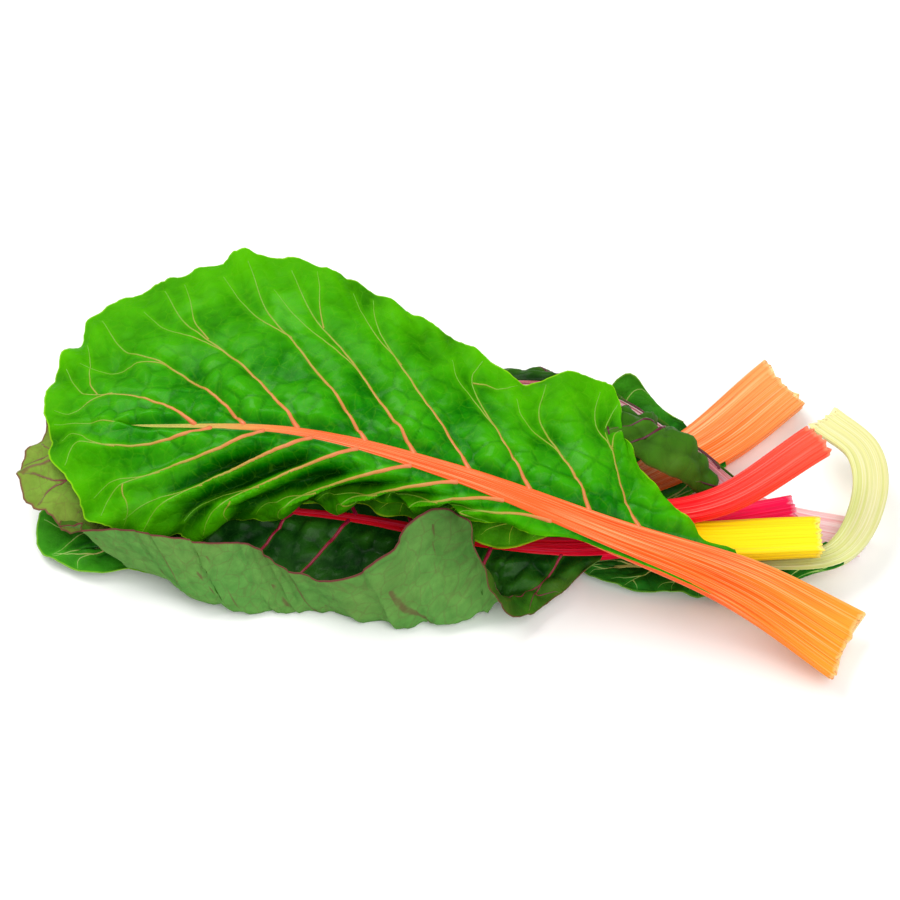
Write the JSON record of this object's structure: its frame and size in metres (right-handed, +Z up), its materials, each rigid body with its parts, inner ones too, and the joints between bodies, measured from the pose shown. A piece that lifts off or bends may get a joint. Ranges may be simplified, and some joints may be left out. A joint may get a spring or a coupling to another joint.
{
  "type": "swiss chard bunch",
  "caption": "Loose bunch of rainbow chard lying on its side, with orange, red, magenta, yellow, pink and cream stalks and crinkled green leaves.",
  "frame": {"origin": "middle of the bunch's footprint, on the surface it lies on", "axes": "+X along the bunch towards the cut ends of the stalks, +Z up, +Y from the front of the bunch to its back"},
  "size_m": [0.4374, 0.2352, 0.0705],
  "materials": {
    "orange_stalk": "glossy, ribbed lengthwise, orange streaked with cream",
    "orange_blade": "glossy bright green with orange and cream veins, paler and matt underneath",
    "peach_stalk": "glossy, ribbed lengthwise, peach streaked with pale pink",
    "peach_blade": "glossy mid green with pale veins and small brown freckles",
    "magenta_stalk": "glossy magenta, turning crimson along the midrib",
    "magenta_blade": "glossy dark green above, matt grey-green underneath, crimson veins and edge",
    "pale_pink_stalk": "satin pale pink, turning burgundy along the midrib",
    "pale_pink_blade": "glossy very dark green with burgundy veins",
    "yellow_stalk": "smooth satin lemon yellow",
    "yellow_blade": "glossy bright green with yellow veins",
    "red_stalk": "glossy vivid red with pink streaks",
    "red_blade": "matt grey-green underside turned outwards, red veins and edge",
    "cream_stalk": "satin cream, greener towards the blade",
    "cream_blade": "glossy dark blue-green with pale green veins"
  },
  "bodies": {
    "root": {"orange_stalk": "orange_stalk", "orange_blade": "orange_blade", "peach_stalk": "peach_stalk", "peach_blade": "peach_blade", "magenta_stalk": "magenta_stalk", "magenta_blade": "magenta_blade", "pale_pink_stalk": "pale_pink_stalk", "pale_pink_blade": "pale_pink_blade", "yellow_stalk": "yellow_stalk", "yellow_blade": "yellow_blade", "red_stalk": "red_stalk", "red_blade": "red_blade", "cream_stalk": "cream_stalk", "cream_blade": "cream_blade"}
  },
  "joints": []
}
